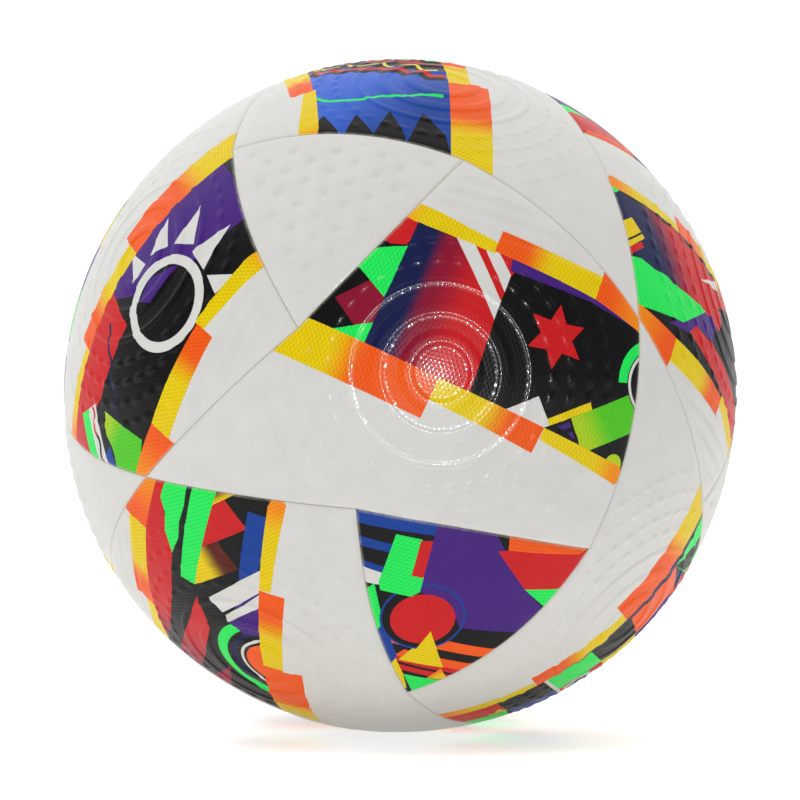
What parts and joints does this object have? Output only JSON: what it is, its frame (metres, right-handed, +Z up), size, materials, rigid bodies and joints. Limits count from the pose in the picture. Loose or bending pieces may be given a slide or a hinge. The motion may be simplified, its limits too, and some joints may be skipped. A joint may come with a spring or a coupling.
{
  "type": "football",
  "caption": "Hollow match ball of foam-backed panels bonded edge to edge over a fabric carcass and a bladder, with a needle valve whose plug pulls out.",
  "frame": {"origin": "centre of the ball", "axes": "+Z up as the ball lies, -Y towards the front, where a large printed panel faces the viewer"},
  "size_m": [0.22, 0.22, 0.22],
  "materials": {
    "panel_skin": "textured polyurethane, satin gloss, printed with coloured bands",
    "foam_pad": "closed-cell foam",
    "hot_melt_film": "translucent adhesive film",
    "carcass_fabric": "rubberised polyester weave",
    "winding_thread": "wound nylon thread set in latex",
    "bladder_rubber": "matt butyl rubber",
    "valve_rubber": "moulded rubber, satin",
    "plug_rubber": "moulded rubber, oiled"
  },
  "bodies": {
    "ball": {"large_panel_01": "panel_skin", "large_panel_02": "panel_skin", "large_panel_03": "panel_skin", "large_panel_04": "panel_skin", "large_panel_05": "panel_skin", "large_panel_06": "panel_skin", "large_panel_07": "panel_skin", "large_panel_08": "panel_skin", "large_panel_09": "panel_skin", "large_panel_10": "panel_skin", "large_panel_11": "panel_skin", "large_panel_12": "panel_skin", "small_panel_1": "panel_skin", "small_panel_2": "panel_skin", "small_panel_3": "panel_skin", "small_panel_4": "panel_skin", "small_panel_5": "panel_skin", "small_panel_6": "panel_skin", "small_panel_7": "panel_skin", "small_panel_8": "panel_skin", "large_foam_01": "foam_pad", "large_foam_02": "foam_pad", "large_foam_03": "foam_pad", "large_foam_04": "foam_pad", "large_foam_05": "foam_pad", "large_foam_06": "foam_pad", "large_foam_07": "foam_pad", "large_foam_08": "foam_pad", "large_foam_09": "foam_pad", "large_foam_10": "foam_pad", "large_foam_11": "foam_pad", "large_foam_12": "foam_pad", "small_foam_1": "foam_pad", "small_foam_2": "foam_pad", "small_foam_3": "foam_pad", "small_foam_4": "foam_pad", "small_foam_5": "foam_pad", "small_foam_6": "foam_pad", "small_foam_7": "foam_pad", "small_foam_8": "foam_pad", "carcass_gore_01": "carcass_fabric", "carcass_gore_02": "carcass_fabric", "carcass_gore_03": "carcass_fabric", "carcass_gore_04": "carcass_fabric", "carcass_gore_05": "carcass_fabric", "carcass_gore_06": "carcass_fabric", "carcass_gore_07": "carcass_fabric", "carcass_gore_08": "carcass_fabric", "carcass_gore_09": "carcass_fabric", "carcass_gore_10": "carcass_fabric", "carcass_gore_11": "carcass_fabric", "carcass_gore_12": "carcass_fabric", "bonding_film": "hot_melt_film", "thread_winding": "winding_thread", "bladder": "bladder_rubber", "valve_housing": "valve_rubber"},
    "plug": {"valve_plug": "plug_rubber"}
  },
  "joints": [
    {"name": "plug_pull", "type": "slide", "parent": "ball", "child": "plug", "axis": [-0.1507, 0.8177, 0.5555], "range_m": [0, 0.022]}
  ]
}
